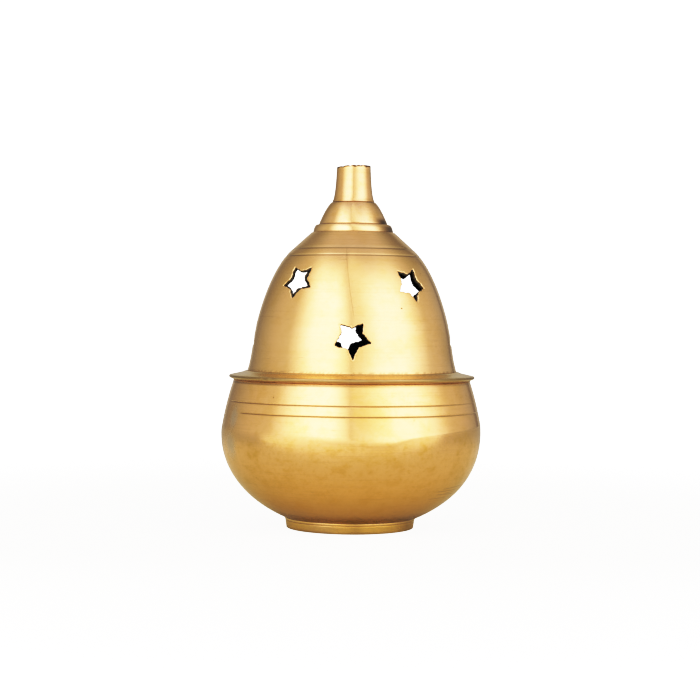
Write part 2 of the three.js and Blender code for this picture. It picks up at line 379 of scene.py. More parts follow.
# noise drawn out by turning: how fast it changes per mm round the piece, up it and out from its
# axis, then its detail and roughness
FINE_RINGS = (0.03, 2.6, 2.6, 4.0, 0.62)
BROAD_RINGS = (0.02, 0.45, 0.45, 3.0, 0.5)
HAIRLINES = (0.22, 3.4, 3.0, 2.0, 0.55)
MOTTLES = (0.2, 0.28, None, 6.0, 0.66)
# noise that is the same every way: scale, detail and roughness
CLOUDS = (0.075, 5.0, 0.58)
SPECKS = (0.9, 2.0, 0.5)
# the values between which each of them comes to show
CLOUD_EDGE, MOTTLE_EDGE, SPECK_EDGE = (0.42, 0.72), (0.44, 0.70), (0.48, 0.72)
RING_EDGE, BROAD_EDGE, BLOOM_EDGE = (0.5, 0.8), (0.45, 0.75), (0.34, 0.52)
HAIRLINE_EDGE, PIT_EDGE = (0.70, 0.77), (0.775, 0.80)
DEEPER = (31.0, 9.0)  # heights between which the belly's colour deepens
DEEPER_WAVER = 9.0  # how far, in mm, the clouds move those heights
MOTTLED = (31.5, 27.0, 0.35, 1.0)  # heights on the bowl, and the share of mottling at each
BUMP_HEIGHT = 0.00002


def brass(
    name, base, roughness=0.21, depth=0.0, rings=1.0, clouds=0.35, mottling=0.25, scratches=(), gap_reflection=None
):
    """Satin lathe-turned brass. `depth` deepens the colour towards the lower belly, and `rings`,
    `clouds` and `mottling` say how strongly each of them shows.

    `scratches` run round the piece, and the last argument is a painted reflection: a dark line up it
    where the gap between the two soft boxes shows. Each is (middle, tilt, start, half length, half
    width, strength) in degrees of bearing and millimetres of height.
    """
    material = bpy.data.materials.new(name)
    s = Shader(material)
    in_metres = s.node("ShaderNodeTexCoord").outputs["Object"]
    place = s.node("ShaderNodeVectorMath", {0: in_metres, "Scale": 1 / MM}, operation="SCALE").outputs[0]
    x, y, z = s.split(place)
    radius = s.math("SQRT", s.add(s.times(x, x), s.times(y, y)))
    bearing = s.bearing(x, y)
    masks = s.node("ShaderNodeAttribute", attribute_name="finish")
    wear_and_highlight, darkening, soot_and_shade = s.node("ShaderNodeSeparateColor", {0: masks.outputs["Color"]}).outputs
    bloom = masks.outputs["Alpha"]

    def turned_noise(around, up, out, detail, rough):
        stretched = enumerate((s.times(x, around), s.times(y, around), s.times(z, up)))
        space = s.node("ShaderNodeCombineXYZ", stretched).outputs[0]
        return s.noise(space, 1.0, detail, rough, w=out and s.times(radius, out))

    fine_rings = turned_noise(*FINE_RINGS)
    broad_rings = turned_noise(*BROAD_RINGS)
    mottle = turned_noise(*MOTTLES)
    cloud = s.noise(place, *CLOUDS, distortion=0.35)
    speck = s.noise(place, *SPECKS)
    hairlines = s.ramp(turned_noise(*HAIRLINES), *HAIRLINE_EDGE)
    marks = s.total((hairlines, 0.35), (s.ramp(speck, *PIT_EDGE), 0.7))
    for *place_and_size, strength in scratches:
        marks = s.add(marks, s.times(s.line(z, bearing, *place_and_size), strength))
    # painted reflection: a dark line up the piece where the gap between the two soft boxes shows
    if gap_reflection:
        *place_and_size, strength = gap_reflection
        marks = s.add(marks, s.times(s.line(bearing, z, *place_and_size), strength))

    # colour: patina first, then polish and painted highlights, marks, grime and painted shade, and soot over
    # it
    colour = s.mix(s.times(s.ramp(cloud, *CLOUD_EDGE), clouds), (*base, 1), DEEP_GOLD)
    if depth:
        wavering = s.add(z, s.times(cloud, DEEPER_WAVER))
        colour = s.mix(s.ramp(wavering, *DEEPER, 0.0, depth), colour, DEEP_GOLD)
    mottled = s.ramp(z, *MOTTLED) if depth else 1.0
    stain = s.total((s.ramp(mottle, *MOTTLE_EDGE), 1.0), (s.ramp(speck, *SPECK_EDGE), 0.5))
    stain = s.math("MINIMUM", s.times(stain, s.times(mottled, mottling)), 1.0)
    colour = s.mix(stain, colour, DEEP_GOLD)
    colour = s.mix(s.times(s.ramp(fine_rings, *RING_EDGE), 0.12), colour, TARNISH_AND_SHADE)
    colour = s.mix(s.times(s.ramp(broad_rings, *BROAD_EDGE), 0.10), colour, DEEP_GOLD)
    bloom = s.times(bloom, s.ramp(mottle, *BLOOM_EDGE))
    colour = s.mix(s.times(bloom, 0.85), colour, PALE_BLOOM)
    colour = s.mix(s.times(wear_and_highlight, 0.75), colour, POLISH_AND_HIGHLIGHT)
    colour = s.mix(s.math("MINIMUM", s.add(darkening, marks), 1.0), colour, TARNISH_AND_SHADE)
    colour = s.mix(soot_and_shade, colour, SOOT_AND_SHADE_BLACK)

    def either_side(noise):
        return s.add(noise, -0.5)

    rough = s.total(
        (roughness, 1.0),
        (either_side(cloud), 0.10),
        (either_side(mottle), s.add(0.03, s.times(mottling, 0.2))),
        (either_side(fine_rings), 0.10),
        (wear_and_highlight, -0.06),
        (s.math("MAXIMUM", darkening, bloom), 0.18),
        (soot_and_shade, 0.40),
    )
    ring_height = s.total((fine_rings, 0.6), (broad_rings, 0.9))
    height = s.total((ring_height, rings), (cloud, 0.8), (mottle, mottling), (marks, -0.9))
    bump = s.node("ShaderNodeBump", {"Strength": 0.5, "Distance": BUMP_HEIGHT, "Height": height})
    # the lathe's marks stretch each highlight up and down the piece
    tangent = s.node("ShaderNodeTangent", direction_type="RADIAL", axis="Z")
    surface = s.node("ShaderNodeBsdfPrincipled", {
        "Base Color": colour,
        "Metallic": s.math("SUBTRACT", 1.0, s.times(soot_and_shade, 0.75)),
        "Roughness": rough,
        "Normal": bump.outputs[0],
        "Tangent": tangent.outputs[0],
        "Anisotropic": 0.8,
        "Anisotropic Rotation": 0.25,
    })
    s.node("ShaderNodeOutputMaterial", {0: surface.outputs[0]})
    return material


BOWL_SCRATCHES = (
    (14.4, 0.02, 62, 12, 0.12, 0.5),
    (13.5, 0.0, 57, 11, 0.11, 0.5),
    (12.9, 0.03, 63, 9, 0.1, 0.45),
    (12.3, -0.02, 60, 12, 0.12, 0.5),
    (11.3, 0.01, 53, 9, 0.1, 0.4),
    (20.4, 0.04, -150, 8, 0.14, 0.4),
    (33.8, -0.03, 130, 7, 0.12, 0.35),
)
DOME_SCRATCHES = (
    (68.3, 0.0, 30.9, 0.6, 0.28, 0.9),
    (72.0, 0.03, 148, 8, 0.12, 0.3),
    (66.5, -0.04, -100, 7, 0.12, 0.3),
)
# painted reflection of the gap between the two soft boxes, a dark line up the front of the dome
DOME_GAP_REFLECTION = (-2.5, -0.32, 76.0, 12.0, 0.5, 0.2)
DOME_MARKS = {"scratches": DOME_SCRATCHES, "gap_reflection": DOME_GAP_REFLECTION}
FINIAL_LOOK = {"roughness": 0.18, "clouds": 0.18, "rings": 0.6}

BOWL_BRASS = brass("bowl_brass", (0.965, 0.64, 0.315), depth=0.72, mottling=0.5, scratches=BOWL_SCRATCHES)
DOME_BRASS = brass("dome_brass", (0.94, 0.648, 0.33), clouds=0.22, mottling=0.12, **DOME_MARKS)
BRIM_BRASS = brass("brim_brass", (0.97, 0.75, 0.395), roughness=0.25, mottling=0.1)
FOOT_BRASS = brass("foot_brass", (0.98, 0.70, 0.25), roughness=0.24, clouds=0.4)
FINIAL_BRASS = brass("finial_brass", (0.91, 0.63, 0.34), **FINIAL_LOOK)
DULL_BRASS = brass("dull_brass", (0.84, 0.565, 0.30), **FINIAL_LOOK)
INNER_BRASS = brass("inner_brass", (0.62, 0.38, 0.14), roughness=0.4, clouds=0.8)


# ---- Bowl ----

BELLY_LEAN = 0.02
BELLY_LEAN_START = 12.5
# (bearing, height, softness) of the crease between belly and wall, which isn't level
CREASE = np.array((
    (-180, 30.8, 1.6), (-120, 31.0, 1.0), (-90, 30.4, 0.7), (-62, 31.8, 1.6), (-34, 32.3, 2.2),
    (-16, 31.4, 2.4), (-2, 30.4, 2.4), (10, 29.4, 2.2), (18, 29.4, 1.6), (26, 30.5, 0.8), (34, 31.0, 0.4),
    (52, 31.8, 0.3), (72, 32.5, 0.3), (90, 32.4, 0.5), (135, 31.4, 1.2), (180, 30.8, 1.6),
))
CREASE_FADE = 6.0  # how far below the crease the belly is drawn out to meet the wall
GROOVE_HEIGHTS = (36.5, 39.6)
GROOVE_DEPTH = 0.18
GROOVE_HALF_WIDTH = 0.2
GROOVE_GRIME = 0.62
# the bearing at which each line starts, the degrees it takes to deepen, its depth where faintest
GROOVE_STARTS = ((-60, 5, 0.5), (-76, 9, 0.3))
GROOVE_END = (318, 290)  # degrees past its start between which it runs out
FAINTEST_LINE = 152  # the bearing at which both lines are faintest
BLOOM_STRENGTH = 0.8
# (bearing, height, reach, flatness) of the pale, cloudy patches
BLOOM_PATCHES = ((-63.5, 34.9, 3.2, 0.8), (-65, 26.4, 4.8, 1.0), (118, 22, 4, 1.3), (203, 33, 3.5, 1.2))
BOSS_RADIUS = 16.4  # what centres the foot ring under the bowl
BOSS_DROP = 0.6
# (from, to, step) of the rings of points up the bowl, and their places across a turned line
RINGS_AT_CREASE = (29.1, 33.2, 0.15)
RINGS_ABOVE = ((33.4, 36.0, 0.4), (37.2, 39.1, 0.4), (40.4, LIP_HEIGHT - 0.35, 0.5))
RINGS_AT_GROOVE = (-0.45, -0.2, -0.1, 0, 0.1, 0.2, 0.45)


def shifted(radius, shift, bearing):
    """The distance from the Z axis of a ring whose centre is moved by `shift` towards +X."""
    turned = np.radians(bearing)
    return shift * np.sin(turned) + np.sqrt(radius**2 - (shift * np.cos(turned)) ** 2)


def belly_radius(height, bearing):
    """The lower part of the bowl, which leans a little towards -X as it rises."""
    lean = -BELLY_LEAN * np.maximum(0, height - BELLY_LEAN_START)
    return shifted(radius_at(BELLY, height), lean, bearing)


def crease_at(bearing):
    """Height and softness of the crease at each bearing."""
    turned = bearing_gap(bearing, 0)
    return [np.interp(turned, CREASE[:, 0], CREASE[:, column]) for column in (1, 2)]


def groove_share(index, bearing):
    """How deep a turned line is round the bowl: it runs out where the tool left the work."""
    start, soft, faintest = GROOVE_STARTS[index]
    past_start = (bearing - start) % 360
    strength = smoothstep(-0.1, 0.75, -np.cos(np.radians(bearing - FAINTEST_LINE)))
    share = faintest + (1 - faintest) * strength
    return smoothstep(0, soft, past_start) * smoothstep(*GROOVE_END, past_start) * share


def bowl_radius(height, bearing):
    """Outside of the bowl: the belly is drawn out to meet the wall in a crease, crisp or soft."""
    crease, softness = crease_at(bearing)
    below = np.maximum(0, crease - height)
    gap = radius_at(WALL_CURVE, crease) - belly_radius(crease, bearing)
    belly = belly_radius(height, bearing) + gap * np.exp(-below / CREASE_FADE)
    share = smoothstep(-softness, softness, height - crease)
    return belly * (1 - share) + radius_at(WALL_CURVE, height) * share


def bowl_heights():
    """Heights of the rings up the outside: closer together at the crease and the turned lines."""
    low_rows = bezier(BELLY, np.linspace(0, 0.5, 50))[:, 1]
    heights = [*low_rows, *np.arange(low_rows[-1] + 0.4, RINGS_AT_CREASE[0] - 0.1, 0.4)]
    for band in (RINGS_AT_CREASE, *RINGS_ABOVE):
        heights += [*np.arange(*band)]
    for groove in GROOVE_HEIGHTS:
        heights += [groove + offset for offset in RINGS_AT_GROOVE]
    return np.array(sorted(heights))[:, None]


def build_bowl():
    heights = bowl_heights()
    around = bearings(LARGE_SIDES)[None, :]
    smooth = bowl_radius(heights, around)
    outside = smooth.copy()
    groove_grime = np.zeros(smooth.shape)
    for index, groove in enumerate(GROOVE_HEIGHTS):
        share = np.clip(1 - np.abs(heights - groove) / GROOVE_HALF_WIDTH, 0, 1)
        share = share * groove_share(index, around)
        outside -= GROOVE_DEPTH * share
        groove_grime = np.maximum(groove_grime, GROOVE_GRIME * np.clip(share * 1.3, 0, 1))

    # the hollow follows the outside, one wall thickness in along each outline's own normal
    underside = FOOT_TOP + SEAM
    floor = underside + WALL
    rise = np.gradient(np.broadcast_to(heights, smooth.shape), axis=0)
    run = np.gradient(smooth, axis=0)
    length = np.hypot(rise, run)
    inner_radius = smooth - WALL * rise / length
    inner_height = heights + WALL * run / length
    keep = inner_height[:, 0] > floor + 0.1
    inner_radius, inner_height = inner_radius[keep][::-1], inner_height[keep][::-1]

    # the rings in order: from the middle of the underside out and up, over the lip and back in
    hem_radius, hem_height = BELLY[0]
    hem_step = hem_radius - 0.2
    boss = rounded([
        (0, underside - BOSS_DROP), (BOSS_RADIUS, underside - BOSS_DROP, 0.1),
        (BOSS_RADIUS, underside, 0.05), (hem_step, underside), (hem_step, hem_height + 0.02, 0.05), BELLY[0],
    ], False)
    flat = np.ones((1, LARGE_SIDES))
    below = [(flat * r, flat * h) for r, h in evenly(boss, 2.0)]
    mouth = smooth[-1:] - 0.25
    top = np.full(mouth.shape, LIP_HEIGHT)
    lip = [(mouth + 0.16, top - 0.12), (mouth, top), (mouth - 0.9, top), (mouth - 1.15, top - 0.14)]
    floor_edge = inner_radius[-1].min()
    inside = [(flat * floor_edge * share, flat * floor) for share in (0.97, 0.8, 0.55, 0.3, 0.1, 0)]
    outer_height = np.broadcast_to(heights, outside.shape)
    rings = [*below, (outside, outer_height), *lip, (inner_radius, inner_height), *inside]
    radius, height = (np.concatenate(part) for part in zip(*rings))

    masks = blank_finish(radius)
    outer = slice(len(below), len(below) + len(heights))
    first_inside = outer.stop + len(lip) - 1
    # painted shade: a dark band on the wall just under the lid's brim
    under_brim_shade = 0.25 + 0.35 * smoothstep(55, 5, bearing_gap(around, -20))  # more of it on the left
    on_crease = fade(heights - crease_at(around)[0], 0.4)
    masks[: outer.start, :, GRIME_AND_SHADE] = 0.35
    masks[outer, :, GRIME_AND_SHADE] = groove_grime
    raise_finish(masks, outer, GRIME_AND_SHADE, smoothstep(44.9, 45.5, heights) * under_brim_shade)
    # painted shade: the belly darkened where it curves in just above the foot ring
    raise_finish(masks, outer, GRIME_AND_SHADE, 0.5 * smoothstep(7.0, hem_height + 0.1, heights))
    masks[outer, :, WEAR_AND_HIGHLIGHT] = 0.25 * on_crease * smoothstep(0.2, 0.9, sine(around))
    for bearing, middle, reach, flatness in BLOOM_PATCHES:
        across = np.radians(bearing_gap(around, bearing)) * smooth
        distance = np.hypot(across, (heights - middle) * flatness)
        raise_finish(masks, outer, BLOOM, BLOOM_STRENGTH * smoothstep(reach * 1.25, reach * 0.2, distance))
    depth_inside = smoothstep(LIP_HEIGHT + 1, LIP_HEIGHT - 9, height[first_inside:])
    masks[first_inside:, :, SOOT_AND_SHADE] = 0.25 + 0.6 * depth_inside

    points, faces = turn(radius, height, LARGE_SIDES), grid_faces(len(radius), LARGE_SIDES, closed=False)
    make_piece("bowl_body", points, faces, masks, BOWL_BRASS, "base", ["bowl"])


# ---- Foot ring ----

FOOT_OFFSET = 0.2  # the ring was brazed on a little off centre
FOOT_STEP = 2.5  # height of the small step below its top
# (bearing, width, strength) of its dull stretches and of its painted highlight, where the left soft
# box shows. Of the dull ones, the one at 5 is a painted reflection of the gap between the soft boxes
# and the one at 62 is painted shade towards its right side; the two at the back are tarnish.
FOOT_DULL_AND_SHADE = ((62, 16, 0.3), (5, 4, 0.14), (150, 20, 0.2), (235, 12, 0.15))
FOOT_HIGHLIGHT = ((-26, 17, 1.0),)


def build_foot():
    outline = rounded([
        (16.9, 0, 0.3), (19.8, 0, 0.1), (20.15, 2.35, 0.12), (20.0, FOOT_STEP, 0.06),
        (20.3, 2.65, 0.12), (20.35, 3.1, 0.12), (20.1, FOOT_TOP, 0.12), (16.9, FOOT_TOP, 0.15),
    ])

    def finish(radius, height, bearing):
        outside = radius > 18.5
        # painted shade along the foot's bottom edge, where it meets the floor
        wobble = 0.12 * sine(bearing * 7) + 0.08 * sine(bearing * 13 + 40)
        rim = smoothstep(0.75 + wobble, 0.1, height) * outside
        step = fade(height - FOOT_STEP, 0.12) * (radius > 19.5)
        dull_and_shade, highlight_spot = spots(bearing, FOOT_DULL_AND_SHADE) * outside, spots(bearing, FOOT_HIGHLIGHT) * outside
        return {
            GRIME_AND_SHADE: np.maximum(np.maximum(0.6 * rim, 0.4 * step), dull_and_shade),
            WEAR_AND_HIGHLIGHT: np.maximum(0.6 * (height > FOOT_STEP + 0.1) * (radius > 20), highlight_spot),
            SOOT_AND_SHADE: (radius < 17.5) * 0.5,
        }

    def shape(radius, height, bearing):
        return radius - FOOT_OFFSET * sine(bearing), height

    place = ("base", "foot_brass", ["foot_ring"])
    turned_piece("foot", outline, FOOT_BRASS, *place, shape, finish, LARGE_SIDES)


# ---- Brim ----

SKIRT_INSIDE = 33.1
SKIRT_OUTSIDE = 34.3
NEAR_SKIRT = 34.5
SOOT_TOP = 46.2  # the skirt is sooty up to here
BRIM_HOLE = 32.2
BEAD_RADIUS = 33.35  # the low bead round the hole
BEAD_FOOT = 48.5
# (bearing, width, depth) of the dents in the brim's edge
BRIM_DINGS = (
    (-43, 1.6, 0.16), (-38.5, 0.9, 0.10), (14, 1.1, 0.12),
    (71, 1.5, 0.10), (160, 2.0, 0.16), (232, 1.4, 0.12),
)


def build_brim():
    seat = LIP_HEIGHT + TOUCH
    outline = rounded([
        (SKIRT_INSIDE, SKIRT_BOTTOM, 0.15), (SKIRT_OUTSIDE, SKIRT_BOTTOM, 0.3), (SKIRT_OUTSIDE, seat, 0.15),
        (36.9, seat, 0.1), (BRIM_RADIUS - 0.1, 46.65, 0.22), (BRIM_RADIUS, 47.05, 0.2),
        (BRIM_RADIUS - 0.12, 47.45, 0.22), (33.85, 48.42, 0.12), (33.5, 48.68, 0.1), (33.2, BRIM_TOP, 0.12),
        (BRIM_HOLE, BRIM_TOP, 0.1), (BRIM_HOLE, seat, 0.05), (SKIRT_INSIDE, seat, 0.1),
    ])

    def shape(radius, height, bearing):
        near_edge = smoothstep(37.2, BRIM_RADIUS, radius)
        wave = 0.05 * sine(bearing * 2 + 35) + 0.04 * sine(bearing * 3 + 80)
        dent = spots(bearing, BRIM_DINGS)
        return radius - dent * near_edge, height + (wave - 0.7 * dent) * near_edge

    def finish(radius, height, bearing):
        # painted shade: the rounded outer edge is darkened to tone down its reflection
        edge = smoothstep(BRIM_RADIUS - 0.55, BRIM_RADIUS - 0.1, radius) * (height > 46.9)
        bead = fade(radius - BEAD_RADIUS, 0.3) * (height > BEAD_FOOT)
        corner = smoothstep(32.75, 32.6, radius) * (height > BEAD_FOOT)
        # painted shade on the underside of the brim's overhang
        under = smoothstep(47.2, 46.6, height) * (radius > NEAR_SKIRT)
        # a faint darker band round the brim's top
        top_band = 0.06 * smoothstep(33.6, 34.4, radius) * smoothstep(36.4, 34.6, radius) * (height > 47.5)
        return {
            WEAR_AND_HIGHLIGHT: 0.8 * bead,
            GRIME_AND_SHADE: np.maximum(0.6 * corner, top_band) + 0.35 * under + 0.5 * edge,
            SOOT_AND_SHADE: 0.5 * (radius < NEAR_SKIRT) * (height < SOOT_TOP),
        }

    place = ("lid", "brim_brass", ["lid_brim"])
    turned_piece("brim", outline, BRIM_BRASS, *place, shape, finish, LARGE_SIDES)


# ---- Dome with star vents ----

DOME_GROOVE_HEIGHTS = (84.4, 86.6)
DOME_GROOVE_DEPTH = 0.12
LIP_ROUNDING = 0.24
# (bearing, height, turn in degrees) of each vent
VENTS = (
    (0, 59.0, -1), (90, 59.0, 3), (184, 59.8, -2), (270, 59.0, 2),
    (-40.6, 76.3, 2.5), (43.2, 75.7, -5.5), (135, 75.4, 4), (227, 77.3, -3),
)
STAR_POINTS = 5
TIP_RADIUS = 5.8
NOTCH_RADIUS = 3.3
STAR_WANDER = (1.6, 0.12)  # how far tips and notches stray: degrees and mm
STAR_ROUNDING = (0.5, 0.35)  # notches are filed rounder than tips
GROWTH_RADIUS = 2.93  # how far out a star scaled by 1 + offset / this has grown by the offset
# the front vent's own corners: (degrees from straight up, distance), hand cut and uneven
FRONT_STAR = (
    (0, 3.5), (33.8, 5.85), (62.6, 3.55), (103, 5.8), (137, 3.0),
    (178.6, 5.9), (211, 3.0), (251.2, 5.75), (301, 3.6), (324.2, 5.7),
)
PATCH_REACH = TIP_RADIUS * 1.12 + 0.9  # half the size of the wall that is rebuilt round a vent
PATCH_CLEARANCE = 0.3


def star_outline(index):
    """A vent's outline in its own plane, (sideways, uphill) in mm, with softened corners."""
    chance = np.random.default_rng(40 + index)
    if index == 0:
        corners = [(math.radians(angle), distance) for angle, distance in FRONT_STAR]
    else:
        corners = []
        for corner in range(2 * STAR_POINTS):
            angle = math.radians(corner * 180 / STAR_POINTS + chance.normal(0, STAR_WANDER[0]))
            distance = (NOTCH_RADIUS, TIP_RADIUS)[corner % 2] + chance.normal(0, STAR_WANDER[1])
            corners.append((angle, distance))
    turned = math.radians(VENTS[index][2])
    shape = [
        (reach * math.sin(angle + turned), reach * math.cos(angle + turned), STAR_ROUNDING[corner % 2])
        for corner, (angle, reach) in enumerate(corners)
    ]
    path = np.array(evenly(rounded(shape), 0.28, closed=True))
    phase = chance.uniform(0, 6.28, 3)
    angle = np.arctan2(path[:, 0], path[:, 1])
    wobble = sum(0.022 * np.sin(k * angle + p) for k, p in zip((7, 13, 23), phase))
    return path * (1 + wobble[:, None])


class DomeSurface:
    """One side of the dome's wall, addressed by angle round the axis and length along the outline."""

    def __init__(self, outline):
        self.radius, self.height = np.array(outline).T
        steps = np.hypot(np.diff(self.radius), np.diff(self.height))
        self.length = np.concatenate([[0], np.cumsum(steps)])

    def along_at(self, height):
        return np.interp(height, self.height, self.length)

    def at(self, along):
        return np.interp(along, self.length, self.radius), np.interp(along, self.length, self.height)

    def normal(self, along):
        before, after = self.at(along - 0.6), self.at(along + 0.6)
        run, rise = after[0] - before[0], after[1] - before[1]
        length = np.hypot(run, rise)
        return rise / length, -run / length

    def point(self, angle, along, depth=0.0):
        radius, height = self.at(along)
        out, up = self.normal(along)
        radius, height = radius - depth * out, height - depth * up
        return np.stack([radius * np.cos(angle), radius * np.sin(angle), height], axis=-1)

    def direction(self, angle, along):
        out, up = self.normal(along)
        return np.stack([out * np.cos(angle), out * np.sin(angle), up], axis=-1)


class PiercedGrid:
    """The dome's grid of points, and what each vent adds to it and leaves out of it."""

    def __init__(self, points, finish, columns):
        self.points, self.finish, self.columns = list(points), list(finish), columns
        self.left_out, self.faces, self.normals = set(), [], []

    def add_ring(self, points, look):
        """Adds points that share one finish and returns the index of the first."""
        first = len(self.points)
        self.points.extend(points)
        self.finish.extend([look] * len(points))
        return first

    def join_rings(self, first, second, size):
        for k in range(size):
            after = (k + 1) % size
            self.faces.append((first + k, first + after, second + after, second + k))

    def patch(self, surface, outward, rows, row_along, first, ring, middle_angle, middle):
        """Rebuilds the wall round a vent with triangles, from the vent's edge out to the grid.

        `rows` are the grid's rows on the surface, `row_along` their lengths along it, `first` and
        `ring` the index and the (angle, length along) of the points of the vent's edge.
        """
        scale = surface.at(middle)[0]
        gap = angle_gap(np.radians(bearings(self.columns)) + FRONT, middle_angle)
        half_angle = PATCH_REACH / (scale * 0.93)
        columns = [i for i in np.argsort(gap).tolist() if abs(gap[i]) <= half_angle]
        picked = [i for i in np.argsort(row_along).tolist() if abs(row_along[i] - middle) <= PATCH_REACH]
        cell_rows = sorted(rows[i] for i in picked)
        self.left_out.update((row, column) for row in cell_rows[:-1] for column in columns[:-1])

        edge = np.stack([angle_gap(ring[0], middle_angle) * scale, ring[1] - middle], axis=1)
        size = len(edge)
        flat = [Vector(spot) for spot in edge]
        source = list(range(first, first + size))
        for i in picked:
            for column in columns:
                spot = np.array([gap[column] * scale, row_along[i] - middle])
                is_border = i in (picked[0], picked[-1]) or column in (columns[0], columns[-1])
                clearance = np.min(np.linalg.norm(edge - spot, axis=1))
                if is_border or not (clearance < PATCH_CLEARANCE or inside_outline(spot, edge)):
                    flat.append(Vector(spot))
                    source.append(rows[i] * self.columns + column)
        edge_lines = [(k, (k + 1) % size) for k in range(size)]
        _, _, triangles, origins, _, _ = delaunay_2d_cdt(flat, edge_lines, [], 0, 1e-7)
        for triangle in triangles:
            corners = [origins[v][0] for v in triangle]
            centre = np.mean([np.array(flat[c]) for c in corners], axis=0)
            if not inside_outline(centre, edge):
                self.faces.append(tuple(source[c] for c in corners))
        for spot, index in zip(flat, source):
            angle = np.array(middle_angle + spot[0] / scale)
            normal = surface.direction(angle, np.array(middle + spot[1])) * outward
            self.normals.append((self.points[index], normal))


def angle_gap(angle, middle):
    """How far each angle is past the middle one, from -pi to pi."""
    return (angle - middle + math.pi) % (2 * math.pi) - math.pi


def inside_outline(spot, outline):
    """Whether a flat point lies inside a closed outline."""
    x, y = spot
    ax, ay = outline[:, 0], outline[:, 1]
    bx, by = np.roll(ax, -1), np.roll(ay, -1)
    crosses = (ay > y) != (by > y)
    with np.errstate(divide="ignore", invalid="ignore"):
        where = ax + (y - ay) * (bx - ax) / (by - ay)
    return bool(np.count_nonzero(crosses & (x < where)) % 2)


def dome_outline():
    """The outside from foot to shoulder, plain and with its turned lines."""
    flare, ogive = trace(FLARE, 20)[:-1], trace(OGIVE, 64)
    plain = [*flare, *ogive]
    ogive = np.array(ogive)
    for groove in DOME_GROOVE_HEIGHTS:
        heights = groove + np.array([-0.4, -0.2, 0, 0.2, 0.4])
        radius = radius_at(OGIVE, heights) - DOME_GROOVE_DEPTH * np.array([0, 0.25, 1, 0.25, 0])
        ogive = ogive[np.abs(ogive[:, 1] - groove) > 0.45]
        ogive = np.concatenate([ogive, np.stack([radius, heights], axis=1)])
    ogive = [tuple(p) for p in ogive[np.argsort(ogive[:, 1])] if p[1] < SHOULDER[1] - 0.02]
    return plain, [*flare, *ogive]


def cut_vent(grid, index, outer, inner, outer_rows, inner_rows):
    """Adds a vent's rings of points, through the wall from its rounded lip, and the wall round it."""
    bearing, height, _ = VENTS[index]
    path = star_outline(index)
    middle_angle = math.radians(bearing) + FRONT
    outer_middle = outer.along_at(height)
    inner_middle = inner.along_at(height - WALL * outer.normal(outer_middle)[1])
    lip = np.radians([0, 22, 45, 68, 90])
    steps = [(LIP_ROUNDING * (1 - math.sin(a)), LIP_ROUNDING * (1 - math.cos(a))) for a in lip]
    steps += [(0, 0.6), (0, 1.0), (0, WALL - 0.12), (0.05, WALL - 0.03), (0.12, WALL)]
    edges, firsts = [], []
    for ring, (offset, depth) in enumerate(steps):
        grown = path * (1 + offset / GROWTH_RADIUS)
        along = outer_middle + grown[:, 1]
        angle = middle_angle + np.arcsin(grown[:, 0] / (outer.at(along)[0] - depth))
        points = outer.point(angle, along, depth)
        if ring == len(steps) - 1:
            along = inner_middle + (along - outer_middle) * inner.length[-1] / outer.length[-1]
            points = inner.point(angle, along)
        worn = 0.9 if 0 < ring < len(lip) else 0.0
        past_lip = ring - len(lip) + 1
        # the cut walls darken towards the inside: soot, and painted shade
        dark = 0.0 if past_lip < 0 else min(1.0, 0.55 + 0.3 * past_lip)
        firsts.append(grid.add_ring(points, (worn, 0.0, dark, 0.0)))
        edges.append((angle, along))
    for first, second in zip(firsts, firsts[1:]):
        grid.join_rings(first, second, len(path))
    grid.patch(outer, 1.0, *outer_rows, firsts[0], edges[0], middle_angle, outer_middle)
    grid.patch(inner, -1.0, *inner_rows, firsts[-1], edges[-1], middle_angle, inner_middle)


